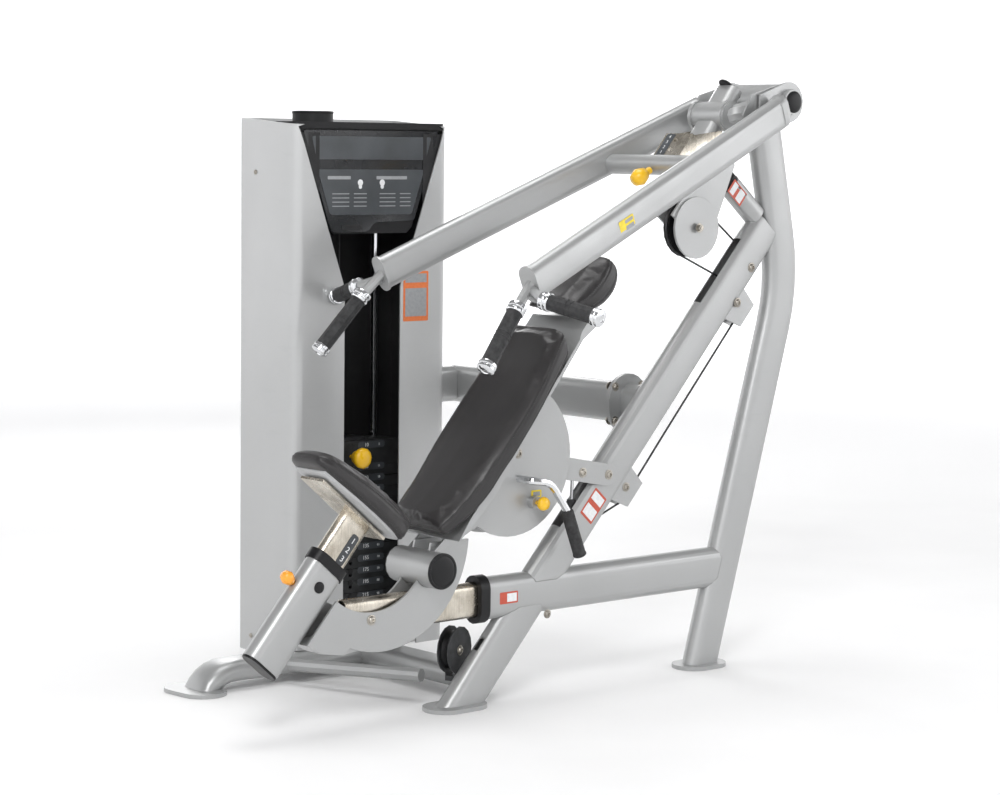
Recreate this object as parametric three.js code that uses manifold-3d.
// Chest and shoulder press machine: adjustable seat and back, overhead press arms and a weight tower.
// Units are millimetres, +Z up. X runs from the front foot to the rear leg, Y from the user towards the
// weight tower. The origin is the middle of the front foot, on the floor.
import * as THREE from 'three';
import { mergeVertices } from 'three/addons/utils/BufferGeometryUtils.js';
import Module from 'manifold-3d';

const wasm = await Module();
wasm.setup();

// ---- driving dimensions -------------------------------------------------------------------------
const GAP = 0.3;                       // clearance between touching pieces
const TUBE_DEEP = 101.6;               // outer flat-oval frame tube
const TUBE_WIDE = 50.8;
const TUBE_WALL = 3.2;
const SLIDE_DEEP = 84;                 // inner flat-oval slide tube
const SLIDE_WIDE = 34;
const ARM_DEEP = 80;                   // press arm tube
const ARM_WIDE = 40;
const PLATE = 6;                       // flat steel used for brackets
const FOOT_THICK = 10;
const FLOOR_TUBE_Z = 46;               // centre height of the tower's floor tubes

const SPINE_ANGLE = rad(47.9);         // lean of the spine from the floor
const RAIL_Z = 250;                    // centre height of the seat rail
const RAIL_FRONT = 80;
const LEG_FOOT = [800, 0];             // rear leg: foot, bend and top in the X-Z plane
const LEG_BEND = [1084, 965];
const LEG_TOP = [990, 1400];
const PIVOT = [985, 1416];             // press arm pivot, axis along Y
const PIVOT_HALF = 78;

const HINGE = [-106, 342];             // back hinge on the seat carriage
const DISC_MID = [127, 579];           // centre of the half-moon plates on the back
const DISC_R = 182;
const LINK_EYE = [145, 590];            // link pin on the back
const LINK_PIVOT = [446, 517];         // link pin through the spine
const SPRING_FOOT = [357, 372];        // lower pin of the gas spring, in the spine
const SPRING_TOP = [361, 528];         // its upper pin, in the link
const BRACKET_Y = 25.7;                // inner face of the carriage plates
const LINK_Y = 31;                     // inner face of the link's flanges
const DISC_Y = 41;                     // inner face of the half-moon plates
const SLIDE_BACK = -335;               // ends of the slide tube under the seat
const SLIDE_FRONT = 170;
const PAD_HALF = 130;                  // more than half the width of the back pad

const SHELL_HALF = 100;                // half width of the board behind the back pad

const SEAT_ANGLE = rad(49);            // lean of the seat post
const SEAT_FOOT = [-557, 168];         // lower end of the seat receiver
const RECEIVER_LONG = 259;
const SEAT_TILT = rad(40);
const PAD_TILT = rad(38);
const SEAT_PIN = 190;                  // seat pin's place along the receiver
const SEAT_STEP = 50;                  // from one hole of the seat post to the next
const SEAT_THICK = 60;
const SEAT_POINT = [-300, 475];        // a point of the seat plate's upper face
const BOSS = [825, 1378];              // cross boss of the yoke
const LEVER_TOP = [874, 1444];
const LEVER_MID = [792, 1339];
const LEVER_LOW = [756, 1293];
const CAM = [734, 1105];               // cam pulley axle
const CAM_R = 76;
const CROSS_TUBE = [630, 1258];        // tube between the two press arms
const ARM_FRONT = [-15, 262, 998];     // press arm centre line, for the +Y side
const ARM_BACK = [914, 139, 1391];
const BEAM = [623, 671];               // cross beam from the spine to the tower
const FLANGE_Y = 90;

const TOWER = { x0: -114, x1: 366, y0: 474, y1: 700, bottom: 50, back: 1362, front: 1344, r: 28, rBack: 12 };
const TOWER_MID = 126;
const MOUTH = 87;                      // half width of the tower's front opening
const SHELL_WALL = 4;
const STACK_FRONT = 556;
const STACK_MID = 610;
const STACK_DEEP = 104;
const STACK_WIDE = 300;
const STACK_FLOOR = 151;
const HEAVY_PLATES = 5;
const HEAVY_PITCH = 30;
const LIGHT_PLATES = 7;
const LIGHT_PITCH = 28.4;
const ROD_OFFSET = 111;
const ROD_R = 11;
const CABLE_R = 2.6;
const PIN_Z = 525;                     // height of the selector pin
const HEAD_HOLE_Z = 551;
const HEAD_BEAM_Z = 1240;
const WHEEL_R = 42;                    // pulleys in the tower
const WHEEL_Y = 650;
const TOP_WHEEL_Z = 1276;
const FOOT_WHEEL_Z = 92;
const SPINE_PULLEY_LOW = 700;          // pulleys behind the spine, measured along and across it
const SPINE_PULLEY_HIGH = 1273;

// ---- colours ------------------------------------------------------------------------------------
const SILVER = [0xa9abac, 0.45, 0.35];
const NICKEL = [0xb9ad98, 0.3, 0.95];
const CHROME = [0xdfe2e4, 0.1, 1.0];
const BLACK = [0x151617, 0.5, 0.0];
const RUBBER = [0x2b2c2d, 0.85, 0.0];
const VINYL = [0x2c2a2b, 0.6, 0.0];
const YELLOW = [0xf2b705, 0.4, 0.0];
const ORANGE = [0xf0a030, 0.35, 0.0];
const IRON = [0x1d1e1f, 0.7, 0.3];

const machine = new THREE.Group();

// ---- helpers ------------------------------------------------------------------------------------
function rad(degrees) {
  return degrees * Math.PI / 180;
}

function add(name, geometry, [color, roughness, metalness]) {
  const material = new THREE.MeshStandardMaterial({ color, roughness, metalness });
  const mesh = new THREE.Mesh(geometry, material);
  mesh.name = name;
  machine.add(mesh);
  return mesh;
}

function solid(geometry) {
  if (geometry.attributes.position.count === 0) {
    throw new Error('empty geometry');
  }
  const plain = geometry.clone();
  plain.deleteAttribute('normal');
  plain.deleteAttribute('uv');
  const merged = mergeVertices(plain, 1e-4);
  return new wasm.Manifold(new wasm.Mesh({
    numProp: 3,
    vertProperties: new Float32Array(merged.attributes.position.array),
    triVerts: new Uint32Array(merged.index.array),
  }));
}

function surface(body) {
  const mesh = body.getMesh();
  const geometry = new THREE.BufferGeometry();
  geometry.setAttribute('position', new THREE.BufferAttribute(Float32Array.from(mesh.vertProperties), 3));
  geometry.setIndex(Array.from(mesh.triVerts));
  return geometry;
}

function join(...geometries) {
  return surface(geometries.map(solid).reduce((sum, body) => sum.add(body)));
}

function cut(geometry, ...tools) {
  return surface(tools.map(solid).reduce((rest, body) => rest.subtract(body), solid(geometry)));
}

function common(a, b) {
  return surface(solid(a).intersect(solid(b)));
}

function box(x0, x1, y0, y1, z0, z1) {
  return new THREE.BoxGeometry(x1 - x0, y1 - y0, z1 - z0)
    .translate((x0 + x1) / 2, (y0 + y1) / 2, (z0 + z1) / 2);
}

// Stadium outline: long side along the shape's y, round ends.
function ovalPath(deep, wide, grow = 0, target = new THREE.Shape()) {
  const r = wide / 2 + grow;
  const half = (deep - wide) / 2;
  target.absarc(0, half, r, 0, Math.PI, false);
  target.absarc(0, -half, r, Math.PI, 2 * Math.PI, false);
  target.closePath();
  return target;
}

function ovalTube(deep, wide, wall) {
  const shape = ovalPath(deep, wide);
  if (wall) {
    shape.holes.push(ovalPath(deep, wide, -wall, new THREE.Path()));
  }
  return shape;
}

function disc(r, bore = 0) {
  const shape = new THREE.Shape();
  shape.absarc(0, 0, r, 0, 2 * Math.PI, false);
  if (bore) {
    shape.holes.push(new THREE.Path().absarc(0, 0, bore, 0, 2 * Math.PI, false));
  }
  return shape;
}

// Straight bar of a section from one point to another; the section's x lies along `side`.
function bar(shape, from, to, side = [0, 1, 0], segments = 4) {
  const a = new THREE.Vector3(...from);
  const z = new THREE.Vector3(...to).sub(a);
  const depth = z.length();
  z.normalize();
  const x = new THREE.Vector3(...side);
  x.addScaledVector(z, -x.dot(z)).normalize();
  const y = new THREE.Vector3().crossVectors(z, x);
  const geometry = new THREE.ExtrudeGeometry(shape, { depth, bevelEnabled: false, curveSegments: segments });
  return geometry.applyMatrix4(new THREE.Matrix4().makeBasis(x, y, z).setPosition(a));
}

// Round bar; bars along Y have their section's x along X.
function rod(r, from, to, segments = 6, bore = 0) {
  return bar(disc(r, bore), from, to, Math.abs(from[1] - to[1]) > 1 ? [1, 0, 0] : [0, 1, 0], segments);
}

// Bar along Y through a point of the X-Z plane.
function crossRod(r, [x, z], y0, y1, segments = 6, bore = 0) {
  return rod(r, [x, y0, z], [x, y1, z], segments, bore);
}

// Flat plate drawn in X-Z and given a thickness along Y.
function sheetXZ(shape, y0, y1, segments = 5) {
  const geometry = new THREE.ExtrudeGeometry(shape, { depth: y1 - y0, bevelEnabled: false, curveSegments: segments });
  return geometry.rotateX(Math.PI / 2).translate(0, y1, 0);
}

function outline(points) {
  return new THREE.Shape(points.map(([x, y]) => new THREE.Vector2(x, y)));
}

// A route through given stops, keeping the section's x along `side` all the way.
class Route extends THREE.Curve {
  constructor(stops, side) {
    super();
    this.stops = stops;
    this.side = new THREE.Vector3(...side).normalize();
  }

  getSpacedPoints() {
    return this.stops;
  }

  computeFrenetFrames() {
    const tangents = this.stops.map((p, i) => {
      const next = this.stops[Math.min(i + 1, this.stops.length - 1)];
      const last = this.stops[Math.max(i - 1, 0)];
      return next.clone().sub(last).normalize();
    });
    const normals = tangents.map((t) => this.side.clone().addScaledVector(t, -this.side.dot(t)).normalize());
    const binormals = tangents.map((t, i) => new THREE.Vector3().crossVectors(t, normals[i]));
    return { tangents, normals, binormals };
  }
}

// Corner points turned into stops, each inner corner rounded over `reach` in `arc` steps.
function rounded(points, reach, arc = 5) {
  const p = points.map((v) => new THREE.Vector3(...v));
  const stops = [p[0]];
  for (let i = 1; i < p.length - 1; i += 1) {
    const before = p[i].clone().add(p[i - 1].clone().sub(p[i]).setLength(reach));
    const after = p[i].clone().add(p[i + 1].clone().sub(p[i]).setLength(reach));
    stops.push(...new THREE.QuadraticBezierCurve3(before, p[i], after).getPoints(arc));
  }
  stops.push(p[p.length - 1]);
  return stops;
}

function bend(shape, points, reach, side = [0, 1, 0], arc = 5, segments = 4) {
  const stops = rounded(points, reach, arc);
  const extrudePath = new Route(stops, side);
  const steps = stops.length - 1;
  return new THREE.ExtrudeGeometry(shape, { steps, bevelEnabled: false, curveSegments: segments, extrudePath });
}

function lathe(profile, segments = 20) {
  return new THREE.LatheGeometry(profile.map(([x, y]) => new THREE.Vector2(x, y)), segments);
}

// Grooved wheel with a bore, spinning about Y.
function wheel(r, wide = 20) {
  const h = wide / 2;
  return lathe([[6.5, -h], [r, -h], [r - 7, 0], [r, h], [6.5, h], [6.5, -h]]);
}

function place(geometry, [x, z], y = 0) {
  return geometry.translate(x, y, z);
}

// Points measured along the spine from the front foot, and across it (positive towards the user).
function alongSpine(t, offset = 0) {
  const c = Math.cos(SPINE_ANGLE);
  const s = Math.sin(SPINE_ANGLE);
  return [8 + t * c - offset * s, t * s + offset * c];
}

// Points measured up the seat post from the receiver's foot, and across it (positive to the rear).
function alongSeat(t, offset = 0) {
  const c = Math.cos(SEAT_ANGLE);
  const s = Math.sin(SEAT_ANGLE);
  return [SEAT_FOOT[0] + t * c + offset * s, SEAT_FOOT[1] + t * s - offset * c];
}

const at = ([x, z], y = 0) => [x, y, z];

function obround(x, y, long, wide, z0, z1, turn = 0) {
  return bar(ovalPath(long, wide), [x, y, z0], [x, y, z1], [-Math.sin(turn), Math.cos(turn), 0], 6);
}

// ---- main frame ---------------------------------------------------------------------------------
function legTube(shape) {
  return bend(shape, [[LEG_FOOT[0], 0, -20], at(LEG_BEND), at(LEG_TOP)], 120);
}

function spineBar(shape, t0, t1) {
  return bar(shape, at(alongSpine(t0)), at(alongSpine(t1)));
}

function slotBox(t0, t1, o0, o1, half) {
  const corners = [alongSpine(t0, o0), alongSpine(t1, o0), alongSpine(t1, o1), alongSpine(t0, o1)];
  return sheetXZ(outline(corners), -half, half);
}

// Gas spring slot and cam cable slot in front, two pulley windows behind, and two cross bolt holes.
function spineSlots() {
  return [
    slotBox(498, 640, 20, 90, 16),
    slotBox(1195, 1405, 20, 90, 12),
    slotBox(585, 745, -90, -20, 12),
    slotBox(1224, 1322, -90, -20, 12),
    crossRod(6.6, LINK_PIVOT, -60, 60),
    crossRod(6.6, SPRING_FOOT, -60, 60),
  ];
}

const fullTube = () => ovalTube(TUBE_DEEP, TUBE_WIDE, TUBE_WALL);
const tubeRoom = () => ovalPath(TUBE_DEEP, TUBE_WIDE, GAP);

function mainFrame() {
  const frontFoot = obround(0, 0, 165, 104, 0, FOOT_THICK);
  const rearFoot = obround(LEG_FOOT[0] + 6, 0, 150, 104, 0, FOOT_THICK);
  const legRoom = legTube(tubeRoom());
  const floor = box(-400, 1200, -70, 70, -300, FOOT_THICK - 1);
  const housing = crossRod(45, PIVOT, -PIVOT_HALF, PIVOT_HALF, 8);
  const shaftRoom = crossRod(13.4, PIVOT, -PIVOT_HALF - 1, PIVOT_HALF + 1);
  add('rear_leg', cut(join(cut(legTube(fullTube()), floor), housing, rearFoot), shaftRoom), SILVER);

  const railRoom = bar(tubeRoom(), [RAIL_FRONT, 0, RAIL_Z], [880, 0, RAIL_Z]);
  const passage = slotBox(290, 480, -48, -28, 8);
  add('seat_rail', cut(bar(fullTube(), [RAIL_FRONT, 0, RAIL_Z], [880, 0, RAIL_Z]), legRoom, passage), SILVER);
  const collar = bar(ovalPath(114, 62), [52, 0, RAIL_Z], [RAIL_FRONT - GAP, 0, RAIL_Z]);
  const bore = bar(ovalPath(SLIDE_DEEP, SLIDE_WIDE, 0.6), [0, 0, RAIL_Z], [200, 0, RAIL_Z]);
  add('rail_collar', cut(collar, bore), BLACK);

  const aboveRail = box(-400, 700, -70, 70, RAIL_Z, 900);
  const belowRail = box(-400, 700, -70, 70, -300, RAIL_Z);
  const inlet = box(-60, 84, -8, 8, 130, 185);
  const lower = cut(spineBar(fullTube(), -60, 420), railRoom, floor, aboveRail, inlet);
  add('spine_lower', join(lower, frontFoot), SILVER);
  const upper = cut(spineBar(fullTube(), 300, 1490), railRoom, legRoom, belowRail, ...spineSlots());
  add('spine_upper', join(upper, spineFlange(), ...pulleyCovers()), SILVER);
}

// Stub and flange that carry the cross beam on the spine's far side.
function spineFlange() {
  const [x, z] = BEAM;
  const y0 = FLANGE_Y - PLATE - GAP;
  return cut(join(
    bar(ovalPath(96, 62), [x, 20, z], [x, y0 - 1, z], [1, 0, 0]),
    bar(ovalPath(146, 132), [x - 4, y0 - PLATE, z], [x - 4, y0, z], [1, 0, 0], 6),
  ), spineBar(ovalPath(TUBE_DEEP, TUBE_WIDE, -TUBE_WALL + 0.5), 300, 1300));
}

// Two small covers behind the spine, each over the outer half of a cable pulley.
function pulleyCovers() {
  return [[639, 749], [1211, 1320]].map(([t0, t1]) => {
    const wall = (y0, y1) => sheetXZ(outline([alongSpine(t0, -20), alongSpine(t1, -20), alongSpine(t1 - 8, -98),
      alongSpine(t0 + 30, -98)]), y0, y1);
    return cut(join(wall(14, 19), wall(-19, -14), slotBox(t0 + 45, t1 - 20, -98, -94, 15)),
      spineBar(ovalPath(TUBE_DEEP, TUBE_WIDE, -TUBE_WALL + 0.5), 300, 1500));
  });
}

// ---- beam, floor tubes and feet between the main frame and the tower ------------------------------
const LEFT_LINE = [[-368, 515, 0], [TOWER_MID, 492, FLOOR_TUBE_Z]];
const RIGHT_LINE = [[431, 777, 0], [TOWER_MID, 690, FLOOR_TUBE_Z]];

function footTube([foot, end]) {
  const away = new THREE.Vector3(...end).sub(new THREE.Vector3(...foot)).setZ(0).normalize();
  const side = [-away.y, away.x, 0];
  const low = [foot[0], foot[1], -30];
  const path = [low, [foot[0] + away.x * 22, foot[1] + away.y * 22, FLOOR_TUBE_Z], end];
  return cut(bend(lyingOval(TUBE_DEEP, TUBE_WIDE), path, 72, side, 6), box(-700, 900, 200, 1100, -200, 2));
}

// Room that a floor tube takes out of the shells.
function tubeNotch([foot, end]) {
  const away = new THREE.Vector3(...end).sub(new THREE.Vector3(...foot)).setZ(0).normalize();
  const from = [foot[0] + away.x * 22, foot[1] + away.y * 22, FLOOR_TUBE_Z];
  return bar(lyingOval(TUBE_DEEP + 3, TUBE_WIDE + 3), from, end, [-away.y, away.x, 0]);
}

// Stadium outline with its long side along the shape's x.
function lyingOval(long, wide) {
  const shape = new THREE.Shape();
  const half = (long - wide) / 2;
  shape.absarc(half, 0, wide / 2, -Math.PI / 2, Math.PI / 2, false);
  shape.absarc(-half, 0, wide / 2, Math.PI / 2, 1.5 * Math.PI, false);
  shape.closePath();
  return shape;
}

function towerLinks() {
  const [x, z] = BEAM;
  const y0 = FLANGE_Y;
  add('cross_beam', join(
    bar(ovalPath(146, 132), [x - 4, y0 - PLATE, z], [x - 4, y0, z], [1, 0, 0], 6),
    bar(fullTube(), [x, y0 - 1, z], [x, 742, z], [1, 0, 0]),
  ), SILVER);

  const h = FLOOR_TUBE_Z;
  const m = TOWER_MID;
  const post = box(m - 30, m + 30, TOWER.y1 + 1, 742, h, 720);
  const tie = bar(ovalPath(94, 36), [m, TOWER.y1 + 22, z], [x - 25.7, TOWER.y1 + 22, z]);
  const wheelRoom = box(m - 13, m + 13, 598, TOWER.y1, h, h + 60);
  add('floor_beam', join(cut(bar(fullTube(), [m, 58, h], [m, 742, h], [0, 0, 1]), wheelRoom), post, tie), SILVER);
  const beamRoom = bar(tubeRoom(), [m, 58, h], [m, 742, h], [0, 0, 1]);
  const brace = rod(16, [-138, 480, h], [-10, 110, h + 16], 5);
  const leftTube = footTube(LEFT_LINE);
  const rightTube = footTube(RIGHT_LINE);
  add('left_floor_tube', cut(join(leftTube, brace, obround(-370, 515, 172, 112, 0, FOOT_THICK, rad(94))), beamRoom), SILVER);
  add('right_floor_tube', cut(join(rightTube, obround(431, 777, 172, 112, 0, FOOT_THICK, rad(104))), beamRoom,
    box(m - 31, m + 31, TOWER.y1 + 0.5, 744, -10, 200)), SILVER);
}


// ---- seat and its carriage ------------------------------------------------------------------------
function seatPoint(s, up) {
  const c = Math.cos(SEAT_TILT);
  const k = Math.sin(SEAT_TILT);
  return [SEAT_POINT[0] + s * c + up * k, SEAT_POINT[1] - s * k + up * c];
}

function seatSlab(s0, s1, up0, up1, half) {
  return sheetXZ(outline([seatPoint(s0, up0), seatPoint(s1, up0), seatPoint(s1, up1), seatPoint(s0, up1)]), -half, half);
}

// One side plate of the carriage: a crescent from the receiver round under the barrel.
function crescent(y0, y1) {
  const shape = new THREE.Shape();
  shape.moveTo(-452, 205);
  shape.lineTo(-412, 182);
  shape.lineTo(-348, 172);
  shape.absarc(-240, 418, 250, rad(-112), rad(-4), false);
  shape.absarc(-268, 428, 168, rad(-9), rad(-128), true);
  return sheetXZ(shape, y0, y1, 14);
}

function seatCarriage() {
  add('slide_tube', bar(ovalTube(SLIDE_DEEP, SLIDE_WIDE, 3), [SLIDE_BACK, 0, RAIL_Z], [SLIDE_FRONT, 0, RAIL_Z]), NICKEL);

  const y = BRACKET_Y;
  const post = bar(ovalPath(TUBE_DEEP, TUBE_WIDE, GAP), at(alongSeat(-5)), at(alongSeat(RECEIVER_LONG + 40)));
  const slide = bar(ovalPath(SLIDE_DEEP, SLIDE_WIDE, GAP), [SLIDE_BACK - 40, 0, RAIL_Z], [SLIDE_FRONT, 0, RAIL_Z]);
  const web = sheetXZ(outline([[-452, 205], [-412, 182], [-348, 172], [-300, 178], [-330, 205], [-400, 215]]), -y - 1, y + 1);
  const spacer = crossRod(14, [-274, 243], -y - 1, y + 1);
  add('carriage_bracket', cut(
    join(crescent(y, y + PLATE), crescent(-y - PLATE, -y), web, spacer),
    post,
    slide,
    crossRod(42.8, HINGE, -60, 60, 9),
  ), SILVER);
  add('seat_receiver', cut(
    bar(ovalTube(TUBE_DEEP, TUBE_WIDE, TUBE_WALL), at(alongSeat(0)), at(alongSeat(RECEIVER_LONG))),
    rod(9, at(alongSeat(SEAT_PIN, -70)), at(alongSeat(SEAT_PIN, -20))),
  ), SILVER);
  add('receiver_collar', cut(
    bar(ovalPath(108, 58), at(alongSeat(RECEIVER_LONG + GAP)), at(alongSeat(RECEIVER_LONG + 25))),
    bar(ovalPath(SLIDE_DEEP, SLIDE_WIDE, 0.6), at(alongSeat(200)), at(alongSeat(RECEIVER_LONG + 60))),
  ), BLACK);

  const tube = bar(ovalTube(SLIDE_DEEP, SLIDE_WIDE, 3), at(alongSeat(110)), at(alongSeat(440)));
  const overPlate = seatSlab(-300, 300, -PLATE, 200, 100);
  const pinHoles = [-1, 0, 1].map((i) => {
    const t = SEAT_PIN + SEAT_STEP * i;
    return rod(7, at(alongSeat(t, -70)), at(alongSeat(t, -20)));
  });
  add('seat_post', cut(join(cut(tube, overPlate), seatSlab(-150, 75, -PLATE - 1, -GAP, 40)), ...pinHoles), NICKEL);
  add('seat_pad', seatPad(), VINYL);
  add('seat_pin', knobPin(alongSeat(SEAT_PIN, -43.2), alongSeat(SEAT_PIN, -84), 5.5, 16), ORANGE);
}

// Seat seen square on: half width at places measured from its nose to its rear.
function seatPad() {
  const half = [[-200, 44], [-184, 58], [-150, 69], [-100, 81], [-40, 90], [20, 93], [70, 83], [100, 64], [112, 40]];
  const right = half.map(([s, w]) => [w, s]);
  const geometry = new THREE.ExtrudeGeometry(outline([...right, ...right.map(([w, s]) => [-w, s]).reverse()]),
    { depth: SEAT_THICK, bevelEnabled: false });
  const c = Math.cos(PAD_TILT);
  const k = Math.sin(PAD_TILT);
  const frame = new THREE.Matrix4().makeBasis(new THREE.Vector3(0, 1, 0), new THREE.Vector3(c, 0, -k),
    new THREE.Vector3(-k, 0, -c));
  frame.setPosition(SEAT_POINT[0] + (SEAT_THICK + 6) * k, 0, SEAT_POINT[1] + (SEAT_THICK + 6) * c);
  return geometry.applyMatrix4(frame);
}

// Pull pin: a shank with a round knob on its outer end, both in the X-Z plane at height y.
function knobPin(inner, outer, r, knob, y = 0) {
  const from = new THREE.Vector3(...at(inner, y));
  const to = new THREE.Vector3(...at(outer, y));
  const long = to.distanceTo(from);
  const profile = [[0, 0], [r, 0], [r, long - 2 * knob], [knob * 0.7, long - 1.9 * knob], [knob, long - knob],
    [knob * 0.7, long - 0.2 * knob], [0, long]];
  const turn = new THREE.Quaternion().setFromUnitVectors(new THREE.Vector3(0, 1, 0), to.sub(from).normalize());
  return lathe(profile, 12).applyQuaternion(turn).translate(from.x, from.y, from.z);
}

// ---- back rest -------------------------------------------------------------------------------------
const PAD_FRONT = [[-134, 455], [-54, 527], [11, 599], [80, 676], [160, 777], [216, 866], [231, 883]];
const PAD_REAR = [[285, 853], [224, 775], [158, 698], [98, 624], [38, 550], [-43, 462], [-130, 409]];
const SHELL_REAR = [[-77, 410], [-29, 448], [30, 506], [119, 630], [217, 751], [296, 851], [343, 885]];
const PAD_LEAN = [0.58, 0.815];        // direction of the back pad, bottom to top

// Back pad seen square on: half width at places measured up along it.
function padFace(grow = 0) {
  const half = [[-160, 84], [-110, 100], [-50, 110], [40, 120], [140, 125], [230, 124], [330, 113], [400, 98], [450, 78]];
  const right = half.map(([t, w]) => [w + grow, t]);
  return outline([...right, ...right.map(([w, t]) => [-w, t]).reverse()]);
}

function backRest() {
  const half = (y0, y1) => sheetXZ(halfMoon(), y0, y1, 12);
  const y = DISC_Y;
  const axle = crossRod(8, LINK_EYE, -y - 1, y + 1, 4);
  const barrel = crossRod(42, HINGE, -75, 75, 8);
  const pinBoss = crossRod(15, [190, 473], -y - 24, -y - 1, 6);
  const pinBore = crossRod(5.8, [190, 473], -90, -DISC_Y + 20, 5);
  add('back_frame', cut(join(half(y, y + PLATE), half(-y - PLATE, -y), axle, barrel, pinBoss), pinBore), SILVER);
  const [c, k] = PAD_LEAN;
  const faceFrom = [-20 - 300 * k, 0, 520 + 300 * c];
  const faceTo = [-20 + 300 * k, 0, 520 - 300 * c];
  const side = sheetXZ(outline([...PAD_FRONT, ...PAD_REAR]), -PAD_HALF, PAD_HALF);
  add('back_pad', common(side, bar(padFace(), faceFrom, faceTo)), VINYL);
  const rear = PAD_REAR.slice(0, 6).map(([px, pz]) => [px + 1.2, pz - 1.2]);
  add('back_shell', sheetXZ(outline([...rear.reverse(), [292, 870], [318, 900], [372, 911], [343, 885],
    ...SHELL_REAR.slice(0, 6).reverse()]), -SHELL_HALF, SHELL_HALF), SILVER);
  add('headrest_pad', headrest(), VINYL);

  const lever = bend(disc(9), [[148, -DISC_Y - PLATE - GAP, 530], [148, -95, 530], [205, -95, 522],
    [262, -95, 445]], 22, [0, 0, 1], 3, 4);
  const grip = rod(14, [258, -95, 450], [300, -95, 345], 5);
  add('back_lever', join(lever, grip), NICKEL);
  const pin = lathe([[0, 0], [5, 0], [5, 44], [14, 46], [17, 54], [14, 62], [0, 64]], 12);
  add('back_pin', pin.rotateX(Math.PI).translate(190, -DISC_Y + 8, 473), YELLOW);
}

function halfMoon() {
  const shape = new THREE.Shape();
  shape.moveTo(-84, 306);
  shape.absarc(DISC_MID[0], DISC_MID[1], DISC_R, rad(-125), rad(61), false);
  SHELL_REAR.slice(0, 4).reverse().forEach(([x, z]) => shape.lineTo(x + 1.4, z - 1));
  shape.lineTo(-146, 352);
  return shape;
}

function headrest() {
  const shape = outline([[247, 926], [323, 978], [417, 1057], [444, 1029], [442, 975], [402, 929], [335, 912]]);
  return sheetXZ(shape, -92, 92);
}

// ---- link from the spine to the back, and its gas spring --------------------------------------------
function linkAndSpring() {
  const [cx, cz] = LINK_PIVOT;
  const [dx, dz] = LINK_EYE;
  const flange = (y0, y1) => cut(
    join(
      sheetXZ(outline([[dx + 6, dz - 20], [302, 516], [cx - 6, cz - 27], [cx - 6, cz + 27], [302, 570], [dx + 6, dz + 20]]),
        y0, y1),
      crossRod(22, LINK_EYE, y0, y1, 6),
      crossRod(27, LINK_PIVOT, y0, y1, 6),
    ),
    crossRod(14, LINK_EYE, y0 - 1, y1 + 1, 5),
    crossRod(6.6, LINK_PIVOT, y0 - 1, y1 + 1, 4),
    crossRod(6.6, SPRING_TOP, y0 - 1, y1 + 1, 4),
  );
  const web = sheetXZ(outline([[290, 512], [296, 512], [296, 574], [290, 574]]), -LINK_Y - 1, LINK_Y + 1);
  add('link_arm', join(flange(LINK_Y, LINK_Y + PLATE), flange(-LINK_Y - PLATE, -LINK_Y), web), SILVER);
  const mid = [SPRING_FOOT[0] + 2.2, SPRING_FOOT[1] + 88];
  const eye = cut(join(crossRod(13, SPRING_FOOT, -9, 9, 5), rod(11, at(SPRING_FOOT), at(mid), 5)),
    crossRod(6.6, SPRING_FOOT, -10, 10, 4),
    rod(4.6, [SPRING_FOOT[0], 0, SPRING_FOOT[1] + 20], at(SPRING_TOP), 4));
  add('gas_cylinder', eye, BLACK);
  add('gas_rod', cut(join(rod(4, [SPRING_FOOT[0] + 1.3, 0, SPRING_FOOT[1] + 50], at(SPRING_TOP), 4),
    crossRod(12, SPRING_TOP, -9, 9, 5)), crossRod(6.6, SPRING_TOP, -10, 10, 4)), CHROME);
}

// ---- press arms -------------------------------------------------------------------------------------
function mirrorY([x, y, z], side) {
  return [x, y * side, z];
}

function towards(from, to, distance) {
  const a = new THREE.Vector3(...from);
  return a.add(new THREE.Vector3(...to).sub(a).setLength(distance)).toArray();
}

function pressArm(name, side) {
  const front = mirrorY(ARM_FRONT, side);
  const back = mirrorY(ARM_BACK, side);
  const tube = bar(ovalPath(ARM_DEEP, ARM_WIDE), front, back);
  const plate = bar(ovalPath(88, 48), towards(front, back, -5), towards(front, back, 1));
  const low = mirrorY([-69, 274, 943], side);
  const high = mirrorY([-36, 320, 966], side);
  const stubs = [rod(12, front, low, 4), rod(12, mirrorY([-15, 262, 985], side), high, 4)];
  const inner = side > 0 ? [95, 101] : [-101, -95];
  const tab = new THREE.Shape();
  tab.absarc(PIVOT[0], PIVOT[1], 50, rad(-70), rad(120), false);
  tab.lineTo(880, 1432);
  tab.lineTo(880, 1350);
  tab.lineTo(925, 1345);
  const hub = side > 0 ? [100, 116] : [-116, -100];
  const filler = bar(ovalPath(ARM_DEEP, ARM_WIDE + 8), towards(back, front, 26), mirrorY([930, 122, 1396], side));
  add(name, cut(join(tube, plate, ...stubs, sheetXZ(tab, ...inner), crossRod(32, PIVOT, ...hub), filler),
    crossRod(13.4, PIVOT, -130, 130)), SILVER);
  const lowEnd = mirrorY([-165, 294, 830], side);
  const highEnd = mirrorY([1, 449, 936], side);
  const label = side > 0 ? 'far' : 'near';
  add(`${label}_low_grip`, rod(18, towards(low, lowEnd, 6), lowEnd, 5), RUBBER);
  add(`${label}_wide_grip`, rod(18, towards(high, highEnd, 24), highEnd, 5), RUBBER);
}

function pressArms() {
  pressArm('near_arm', -1);
  pressArm('far_arm', 1);
  const reach = 250;
  const arms = [-1, 1].map((side) => bar(ovalPath(ARM_DEEP, ARM_WIDE, GAP), mirrorY(ARM_FRONT, side),
    mirrorY(ARM_BACK, side)));
  add('arm_cross_tube', middle(cut(crossRod(25, CROSS_TUBE, -reach, reach, 7), ...arms)), SILVER);
  add('arm_pin', knobPin([603, 1245], [548, 1219], 9, 22), YELLOW);
}

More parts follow.
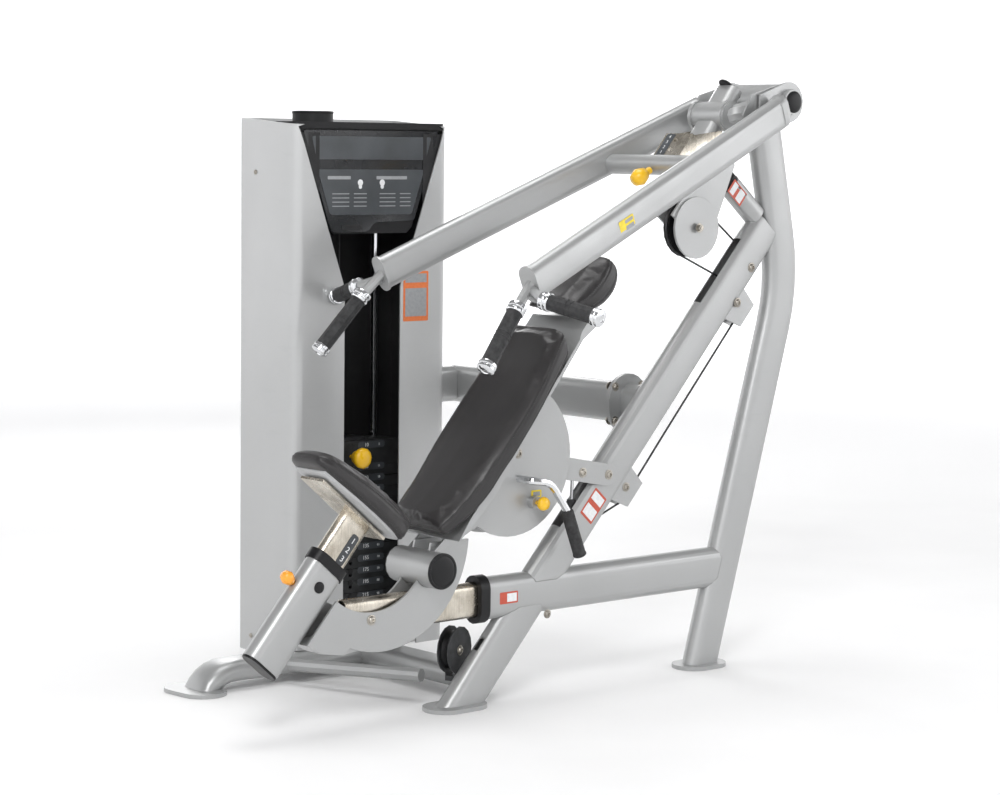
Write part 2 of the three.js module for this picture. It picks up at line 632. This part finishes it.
// The piece of a cut bar that lies between the two arms.
function middle(geometry) {
  const pieces = solid(geometry).decompose();
  return surface(pieces.find((piece) => piece.boundingBox().min[1] < 0 && piece.boundingBox().max[1] > 0));
}

// ---- swing frame: yoke, cam lever, number sector and cam --------------------------------------------
function swingFrame() {
  const tab = new THREE.Shape();
  tab.absarc(PIVOT[0], PIVOT[1], 48, rad(-70), rad(110), false);
  tab.lineTo(860, 1432);
  tab.lineTo(830, 1380);
  tab.lineTo(870, 1352);
  const arm = (side) => bend(disc(22), [[BOSS[0], side * 46, BOSS[1]], [832, side * 68, 1386], [900, side * 67, 1402]],
    16, [0, 0, 1], 3);
  const lever = (grow) => bar(ovalPath(76, 38, grow), at(LEVER_LOW), at(LEVER_TOP), [0.788, 0, -0.616]);
  const sleeves = [-1, 1].map((side) => crossRod(41, BOSS, side * 55, side * 47, 7));
  add('yoke', cut(
    join(sheetXZ(tab, 85, 91), sheetXZ(tab, -91, -85), arm(1), arm(-1), crossRod(37, BOSS, -60, 60, 7), ...sleeves),
    crossRod(13.4, PIVOT, -130, 130),
    crossRod(46, PIVOT, -PIVOT_HALF - 1, PIVOT_HALF + 1, 8),
    lever(GAP),
  ), SILVER);

  const fork = outline([[652, 1137], [722, 1083], [786, 1074], [869, 1259], [830, 1300], [745, 1271], [690, 1180]]);
  const plates = [[24, 30], [-30, -24]].map(([y0, y1]) => sheetXZ(fork, y0, y1));
  const cover = crossRod(CAM_R, CAM, -35, -29, 12);
  add('cam_lever', join(lever(0), ...plates, leverFoot(), cover, crossRod(6, CAM, -43, 34, 4)), SILVER);

  const wall = outline([[662, 1283], [700, 1330], [806, 1343], [798, 1316], [720, 1262]]);
  const sector = join(
    sheetXZ(wall, 40.5, 45),
    sheetXZ(wall, -45, -40.5),
    sheetXZ(outline([[656, 1279], [703, 1335], [708, 1331], [661, 1275]]), -45, 45),
  );
  const holes = [0.3, 0.7].map((f) => rod(7, [656 + 50 * f + 20, 0, 1277 + 56 * f - 18], [656 + 50 * f - 25, 0, 1277 + 56 * f + 22], 4));
  add('number_sector', cut(sector, ...holes), NICKEL);
  add('cam_pulley', place(wheel(CAM_R - 3, 18), CAM), BLACK);
}

// Bridge that ties the lever tube to both fork plates.
function leverFoot() {
  return sheetXZ(outline([[752, 1288], [768, 1262], [800, 1284], [782, 1312]]), -29, 29);
}

// ---- stop, pivot shaft and rear pulleys -------------------------------------------------------------
function stopAndPulleys() {
  const from = [974, 0, 1132];
  const to = [879, 0, 1211];
  const post = bar(ovalPath(58, 52), from, to);
  const tip = bar(ovalPath(56, 44), towards(to, from, -GAP), towards(to, from, -16));
  add('stop_post', cut(post, spineBar(tubeRoom(), 1200, 1490), legTube(tubeRoom())), SILVER);
  add('stop_bumper', tip, RUBBER);
  add('pivot_shaft', crossRod(12.5, PIVOT, -116, 116, 6), CHROME);
  add('lower_spine_pulley', place(wheel(30, 16), alongSpine(SPINE_PULLEY_LOW, -60)), BLACK);
  add('upper_spine_pulley', place(wheel(45, 16), alongSpine(SPINE_PULLEY_HIGH, -43)), BLACK);
}

// ---- weight tower -----------------------------------------------------------------------------------
function cornerPoints(cx, cy, r, from, to, steps = 4) {
  return Array.from({ length: steps + 1 }, (_, i) => {
    const a = rad(from + (to - from) * i / steps);
    return [cx + r * Math.cos(a), cy + r * Math.sin(a)];
  });
}

// Left half of the tower's plan, from the mouth round to the back seam.
function shellPlan(inset) {
  const { x0, y0, y1, r, rBack } = TOWER;
  return [
    [TOWER_MID - MOUTH, y0 + inset],
    ...cornerPoints(x0 + r, y0 + r, r - inset, 270, 180),
    ...cornerPoints(x0 + rBack, y1 - rBack, rBack - inset, 180, 90, 2),
    [TOWER_MID - 0.4, y1 - inset],
  ];
}

function towerShell(name, mirrored) {
  const plan = [...shellPlan(0), ...shellPlan(SHELL_WALL).reverse()];
  const corners = plan.map(([x, y]) => (mirrored ? [2 * TOWER_MID - x, y] : [x, y]));
  if (mirrored) {
    corners.reverse();
  }
  const wall = new THREE.ExtrudeGeometry(outline(corners), { depth: 1400 - TOWER.bottom, bevelEnabled: false })
    .translate(0, 0, TOWER.bottom);
  const top = bar(outline([[TOWER.y0 - 20, TOWER.front], [TOWER.y1 + 20, TOWER.back], [TOWER.y1 + 20, 1500],
    [TOWER.y0 - 20, 1500]]), [-300, 0, 0], [600, 0, 0], [0, 1, 0]);
  const slant = sheetXZ(outline([[TOWER_MID, 900], [TOWER_MID - MOUTH + 2, 945], [TOWER.x0 + 14, 1340], [TOWER_MID, 1420]]
    .map(([x, z]) => [mirrored ? 2 * TOWER_MID - x : x, z])), TOWER.y0 - 10, TOWER.y0 + 30);
  const beam = bar(ovalPath(TUBE_DEEP, TUBE_WIDE, 1), [TOWER_MID, 58, FLOOR_TUBE_Z], [TOWER_MID, 760, FLOOR_TUBE_Z], [0, 0, 1]);
  const pieces = [top, slant, beam, tubeNotch(mirrored ? RIGHT_LINE : LEFT_LINE)];
  if (mirrored) {
    pieces.push(lowerCorner());
  }
  add(name, cut(wall, ...pieces), SILVER);
}

// The access side's shell has its lower front corner rounded off.
function lowerCorner() {
  const r = 60;
  const x = TOWER_MID + MOUTH;
  const z = TOWER.bottom + 15;
  const round = cornerPoints(x + r, z + r, r, 180, 270, 5);
  return sheetXZ(outline([[x - 5, z + r], ...round, [x + r, z - 90], [x - 5, z - 90]]), TOWER.y0 - 10, TOWER.y0 + 40);
}

function stackBody(z0, pitch, count) {
  const half = STACK_WIDE / 2;
  const x = TOWER_MID;
  const pieces = [];
  for (let i = 0; i < count; i += 1) {
    const z = z0 + i * pitch;
    pieces.push(box(x - half, x + half, STACK_FRONT, STACK_FRONT + STACK_DEEP, z + 0.8, z + pitch - 0.8));
    pieces.push(box(x - half + 3, x + half - 3, STACK_FRONT + 3, STACK_FRONT + STACK_DEEP - 3, z, z + pitch));
  }
  const holes = Array.from({ length: count }, (_, i) => rod(5.4, [x, STACK_FRONT - 5, z0 + (i + 0.5) * pitch],
    [x, STACK_MID, z0 + (i + 0.5) * pitch], 3));
  const bores = [-1, 1].map((side) => upright(ROD_R + 1.6, x + side * ROD_OFFSET, STACK_MID, z0 - 1, z0 + 900));
  return cut(join(...pieces), ...holes, ...bores, upright(11.5, x, STACK_MID, z0 - 1, z0 + 900));
}

function upright(r, x, y, z0, z1, segments = 5) {
  return rod(r, [x, y, z0], [x, y, z1], segments);
}

function weightTower() {
  towerShell('left_shell', false);
  towerShell('right_shell', true);
  const x = TOWER_MID;
  const heavyTop = STACK_FLOOR + HEAVY_PLATES * HEAVY_PITCH;
  const restTop = heavyTop + (LIGHT_PLATES - 1) * LIGHT_PITCH;
  const headTop = STACK_FLOOR + 419;
  add('heavy_plates', stackBody(STACK_FLOOR, HEAVY_PITCH, HEAVY_PLATES), IRON);
  add('light_plates', stackBody(heavyTop + GAP, LIGHT_PITCH - 0.05, LIGHT_PLATES - 1), IRON);
  const first = stackBody(restTop + 0.6, LIGHT_PITCH, 1);
  const half = STACK_WIDE / 2;
  const head = join(box(x - half, x + half, STACK_FRONT, STACK_FRONT + STACK_DEEP, restTop + LIGHT_PITCH + 0.2, headTop - 8),
    box(x - 60, x + 60, STACK_FRONT + 20, STACK_FRONT + STACK_DEEP - 20, headTop - 9, headTop));
  const stem = upright(9.5, x, STACK_MID, STACK_FLOOR + 9, headTop + 26, 6);
  const bores = [-1, 1].map((side) => upright(ROD_R + 1.6, x + side * ROD_OFFSET, STACK_MID, 100, 900));
  const pinHole = rod(5.4, [x, STACK_FRONT - 5, PIN_Z], [x, STACK_MID, PIN_Z], 4);
  const lowHole = rod(5.4, [x, STACK_FRONT - 5, HEAD_HOLE_Z], [x, STACK_MID - 12, HEAD_HOLE_Z], 4);
  add('head_plate', cut(join(first, head, stem), ...bores, upright(6, x, STACK_MID, 100, 900), pinHole, lowHole), IRON);

  const profile = [[0, 0], [4.5, 0], [4.5, 63], [15, 65], [18, 71], [18, 75], [26, 89], [26, 97], [20, 103], [0, 105]];
  add('selector_pin', lathe(profile, 12).rotateX(Math.PI).translate(x, STACK_MID - 7, PIN_Z), YELLOW);

  [['left_guide_rod', -1], ['right_guide_rod', 1]].forEach(([name, side]) => {
    add(name, upright(ROD_R, x + side * ROD_OFFSET, STACK_MID, 130, HEAD_BEAM_Z + 12, 5), CHROME);
  });
  add('stack_base', cut(
    join(box(x - half, x + half, STACK_FRONT, STACK_FRONT + STACK_DEEP, 77.8, STACK_FLOOR - 20),
      ...[-1, 1].map((side) => upright(24, x + side * ROD_OFFSET, STACK_MID, STACK_FLOOR - 21, STACK_FLOOR - GAP, 6))),
    ...[-1, 1].map((side) => upright(ROD_R + GAP, x + side * ROD_OFFSET, STACK_MID, 129, 160)),
    box(x - 14, x + 14, 598, 720, 60, 200),
  ), BLACK);
  add('head_beam', cut(
    box(x - half, x + half, STACK_MID - 24, STACK_MID + 24, HEAD_BEAM_Z, HEAD_BEAM_Z + 40),
    ...[-1, 1].map((side) => upright(ROD_R + GAP, x + side * ROD_OFFSET, STACK_MID, HEAD_BEAM_Z - 1, HEAD_BEAM_Z + 12.3)),
    box(x - 13, x + 13, STACK_MID - 6, 720, HEAD_BEAM_Z - 5, HEAD_BEAM_Z + 45),
  ), BLACK);
  [['tower_top_pulley', TOP_WHEEL_Z], ['tower_foot_pulley', FOOT_WHEEL_Z]].forEach(([name, z]) => {
    const wheelX = wheel(WHEEL_R, 18).rotateZ(Math.PI / 2);
    add(name, wheelX.translate(x, WHEEL_Y, z), BLACK);
  });
  add('tower_cap', towerCap(), BLACK);
}

// Hollow lid with a cup ring, and the placard panel hanging below it in the shells' mouth.
function towerCap() {
  const { x0, x1, y0, y1, r, rBack } = TOWER;
  const inset = SHELL_WALL + GAP;
  const slab = (grow, z0, z1) => new THREE.ExtrudeGeometry(outline([
    ...cornerPoints(x0 + r, y0 + r, r - inset - grow, 270, 180),
    ...cornerPoints(x0 + rBack, y1 - rBack, rBack - inset - grow * 0.5, 180, 90, 1),
    ...cornerPoints(x1 - rBack, y1 - rBack, rBack - inset - grow * 0.5, 90, 0, 1),
    ...cornerPoints(x1 - r, y0 + r, r - inset - grow, 0, -90),
  ].reverse()), { depth: z1 - z0, bevelEnabled: false }).translate(0, 0, z0);
  const ring = upright(50, 4, 560, 1346, 1372, 8);
  const cup = upright(42, 4, 560, 1352, 1400, 8);
  const panel = sheetXZ(outline([[x0 + 24, 1340], [-2, 1096], [14, 1082], [240, 1082], [256, 1096], [x1 - 24, 1340]]),
    y0 + 12, y0 + 18);
  return cut(join(slab(0, 1336, 1352), panel, ring), slab(8, 1330, 1346), cup);
}

// ---- floor pulleys and cables -----------------------------------------------------------------------
function turned(geometry, angle, [x, y, z]) {
  return geometry.rotateZ(angle).translate(x, y, z);
}

function floorPulleys() {
  const spot = [34, 44, 128];
  const turn = rad(20);
  const plates = [-1, 1].map((side) => turned(rod(56, [0, side * 15, 0], [0, side * 12, 0], 8), turn, spot));
  const strap = turned(box(-16, 16, -15, 15, -72, -60), turn, spot);
  const straps = [-1, 1].map((side) => turned(box(-16, 16, side > 0 ? 12 : -15, side > 0 ? 15 : -12, -72, 0), turn, spot));
  const axle = turned(rod(7, [0, -15, 0], [0, 15, 0], 4), turn, spot);
  add('guide_bracket', cut(join(...plates, ...straps, strap, axle), spineBar(tubeRoom(), -60, 420)), IRON);
  const rim = cut(turned(wheel(46, 18), turn, spot), turned(rod(8, [0, -15, 0], [0, 15, 0], 4), turn, spot));
  add('guide_pulley', rim, BLACK);
}

function cableTube(stops, side) {
  const section = new THREE.Shape();
  section.absarc(0, 0, CABLE_R, 0, 2 * Math.PI, false);
  const extrudePath = new Route(stops, side);
  return new THREE.ExtrudeGeometry(section, { steps: stops.length - 1, bevelEnabled: false, curveSegments: 4, extrudePath });
}

function arcStops(center, r, from, to, steps, toPoint) {
  return Array.from({ length: steps + 1 }, (_, i) => {
    const a = rad(from + (to - from) * i / steps);
    return toPoint(center[0] + r * Math.cos(a), center[1] + r * Math.sin(a));
  });
}

const LEAD_ANGLE = 157.6;              // direction of the cable from the spine to the cam
const inTower = (y, z) => new THREE.Vector3(TOWER_MID, y, z);
const inPlane = (x, z) => new THREE.Vector3(x, 0, z);

function cables() {
  const ride = WHEEL_R - 2;
  const tower = [
    inTower(STACK_MID, STACK_FLOOR + 431),
    ...arcStops([WHEEL_Y, TOP_WHEEL_Z], ride, 180, 0, 8, inTower),
    ...arcStops([WHEEL_Y, FOOT_WHEEL_Z], ride, 0, -90, 5, inTower),
    inTower(300, FOOT_WHEEL_Z - ride),
    inTower(70, FOOT_WHEEL_Z - ride),
  ];
  add('tower_cable', cableTube(tower, [1, 0, 0]), BLACK);
  const spineStops = [[250, -38], [575, -38], [680, -91], [900, -88]].map(([t, o]) => inPlane(...alongSpine(t, o)));
  const over = arcStops(alongSpine(SPINE_PULLEY_HIGH, -43), 43.5, -42, LEAD_ANGLE - 90, 7, inPlane);
  const wrap = arcStops(CAM, CAM_R - 5, LEAD_ANGLE + 90, 53, 12, inPlane);
  const lead = (f) => over[over.length - 1].clone().lerp(wrap[0], f);
  add('spine_cable', cableTube([...spineStops, ...over, lead(0.22)], [0, 1, 0]), BLACK);
  add('cam_cable', cableTube([lead(0.24), ...wrap, inPlane(...alongSpine(1393, 56))], [0, 1, 0]), BLACK);
}

mainFrame();
towerLinks();
seatCarriage();
backRest();
linkAndSpring();
pressArms();
swingFrame();
stopAndPulleys();
weightTower();
floorPulleys();
cables();

export default machine;
